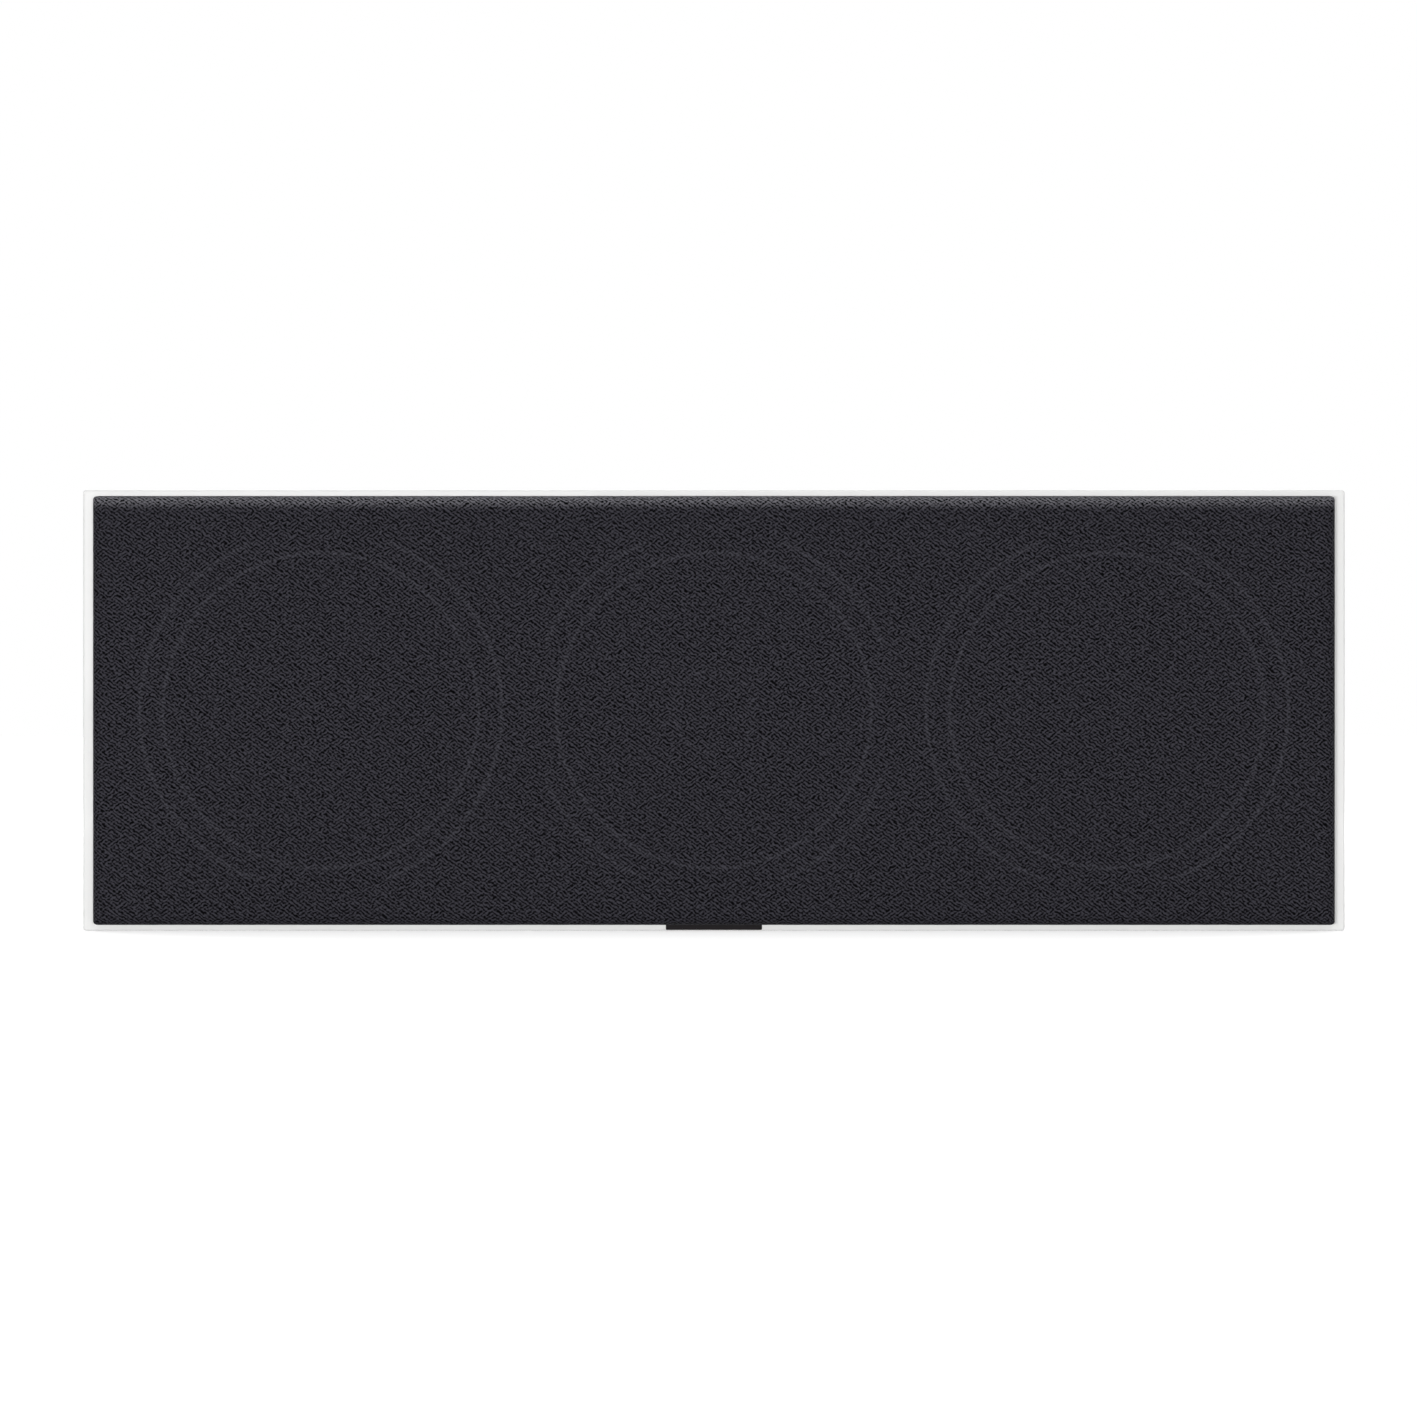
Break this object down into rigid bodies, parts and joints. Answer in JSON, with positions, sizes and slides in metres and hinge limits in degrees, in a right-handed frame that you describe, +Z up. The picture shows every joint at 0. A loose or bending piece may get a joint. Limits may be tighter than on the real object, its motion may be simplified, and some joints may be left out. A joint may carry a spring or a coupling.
{
  "type": "center channel speaker",
  "caption": "Wide low lacquered loudspeaker box that lies under a screen, with round metal cones and a coaxial tweeter behind a lift-off cloth grille and screw terminals at the back.",
  "frame": {"origin": "middle of the cabinet's flat underside, halfway between its left and right sides and between its front and rear faces", "axes": "+Z up, +X to the right seen from the front, +Y to the rear, so the grille faces -Y"},
  "size_m": [0.63, 0.316, 0.22],
  "materials": {
    "white_lacquer": "gloss",
    "raw_mdf": "matte",
    "wadding": "matte",
    "badge_black": "gloss",
    "grille_abs": "matte",
    "grille_fabric": "matte",
    "magnet_nickel": "polished",
    "plated_steel": "satin",
    "screw_black": "satin",
    "trim_abs": "satin",
    "cast_alloy": "satin",
    "surround_rubber": "matte",
    "cone_aluminium": "satin",
    "dome_aluminium": "satin",
    "spider_cloth": "matte",
    "coil_copper": "gloss",
    "ferrite": "matte",
    "tag_board": "satin",
    "terminal_abs": "satin",
    "post_brass": "polished",
    "nut_red": "gloss",
    "nut_black": "gloss",
    "circuit_board": "satin",
    "nylon": "satin",
    "capacitor_sleeve": "gloss",
    "cement": "matte",
    "lead_pvc": "satin"
  },
  "bodies": {
    "cabinet": {"cabinet_shell": "white_lacquer", "front_baffle": "white_lacquer", "rear_panel": "white_lacquer", "left_brace": "raw_mdf", "right_brace": "raw_mdf", "wadding_pads": "wadding", "badge_plate": "badge_black", "baffle_keepers": "plated_steel", "panel_screws": "screw_black", "tweeter_waveguide": "trim_abs", "tweeter_magnet": "magnet_nickel", "tweeter_cup": "plated_steel", "driver_tag_strips": "tag_board", "terminal_cup": "terminal_abs", "positive_post": "post_brass", "negative_post": "post_brass", "post_lock_nuts": "post_brass", "crossover_board": "circuit_board", "board_pillars": "nylon", "inductors": "coil_copper", "capacitors": "capacitor_sleeve", "resistors": "cement", "internal_leads": "lead_pvc", "left_woofer_trim_ring": "trim_abs", "left_woofer_basket": "cast_alloy", "left_woofer_surround": "surround_rubber", "left_woofer_spider": "spider_cloth", "left_woofer_top_plate": "plated_steel", "left_woofer_ring_magnet": "ferrite", "left_woofer_yoke": "plated_steel", "coaxial_trim_ring": "trim_abs", "coaxial_basket": "cast_alloy", "coaxial_surround": "surround_rubber", "coaxial_spider": "spider_cloth", "coaxial_top_plate": "plated_steel", "coaxial_ring_magnet": "ferrite", "coaxial_yoke": "plated_steel", "right_woofer_trim_ring": "trim_abs", "right_woofer_basket": "cast_alloy", "right_woofer_surround": "surround_rubber", "right_woofer_spider": "spider_cloth", "right_woofer_top_plate": "plated_steel", "right_woofer_ring_magnet": "ferrite", "right_woofer_yoke": "plated_steel"},
    "grille": {"grille_frame": "grille_abs", "grille_cloth": "grille_fabric", "grille_magnets": "magnet_nickel"},
    "left_cone": {"left_woofer_cone": "cone_aluminium", "left_woofer_dust_cap": "cone_aluminium", "left_woofer_voice_coil": "coil_copper"},
    "coaxial_cone": {"coaxial_cone": "cone_aluminium", "coaxial_voice_coil": "coil_copper"},
    "right_cone": {"right_woofer_cone": "cone_aluminium", "right_woofer_dust_cap": "cone_aluminium", "right_woofer_voice_coil": "coil_copper"},
    "tweeter_dome": {"tweeter_dome": "dome_aluminium"},
    "positive_clamp": {"positive_washer": "post_brass"},
    "positive_nut": {"positive_thumb_nut": "nut_red"},
    "negative_clamp": {"negative_washer": "post_brass"},
    "negative_nut": {"negative_thumb_nut": "nut_black"}
  },
  "joints": [
    {"name": "grille_pull", "type": "slide", "parent": "cabinet", "child": "grille", "axis": [0, -1, 0], "range_m": [0, 0.15]},
    {"name": "left_cone_travel", "type": "slide", "parent": "cabinet", "child": "left_cone", "axis": [0, -1, 0], "range_m": [-0.004, 0.004], "stiffness_N_per_m": 1400, "deforming": ["left_woofer_surround", "left_woofer_spider"]},
    {"name": "coaxial_cone_travel", "type": "slide", "parent": "cabinet", "child": "coaxial_cone", "axis": [0, -1, 0], "range_m": [-0.004, 0.004], "stiffness_N_per_m": 1400, "deforming": ["coaxial_surround", "coaxial_spider"]},
    {"name": "right_cone_travel", "type": "slide", "parent": "cabinet", "child": "right_cone", "axis": [0, -1, 0], "range_m": [-0.004, 0.004], "stiffness_N_per_m": 1400, "deforming": ["right_woofer_surround", "right_woofer_spider"]},
    {"name": "dome_travel", "type": "slide", "parent": "cabinet", "child": "tweeter_dome", "axis": [0, -1, 0], "range_m": [-0.0003, 0.0003], "stiffness_N_per_m": 1500},
    {"name": "positive_clamp_slide", "type": "slide", "parent": "cabinet", "child": "positive_clamp", "axis": [0, 1, 0], "range_m": [0, 0.004]},
    {"name": "positive_nut_turn", "type": "hinge", "parent": "positive_clamp", "child": "positive_nut", "pos_m": [-0.015, 0.1365, 0.11], "axis": [0, 1, 0], "range_deg": [0, 1441]},
    {"name": "negative_clamp_slide", "type": "slide", "parent": "cabinet", "child": "negative_clamp", "axis": [0, 1, 0], "range_m": [0, 0.004]},
    {"name": "negative_nut_turn", "type": "hinge", "parent": "negative_clamp", "child": "negative_nut", "pos_m": [0.015, 0.1365, 0.11], "axis": [0, 1, 0], "range_deg": [0, 1441]}
  ],
  "couplings": [
    {"joint": "positive_nut_turn", "follows": "positive_clamp_slide", "rad_per_m": 6283.2},
    {"joint": "negative_nut_turn", "follows": "negative_clamp_slide", "rad_per_m": 6283.2}
  ]
}
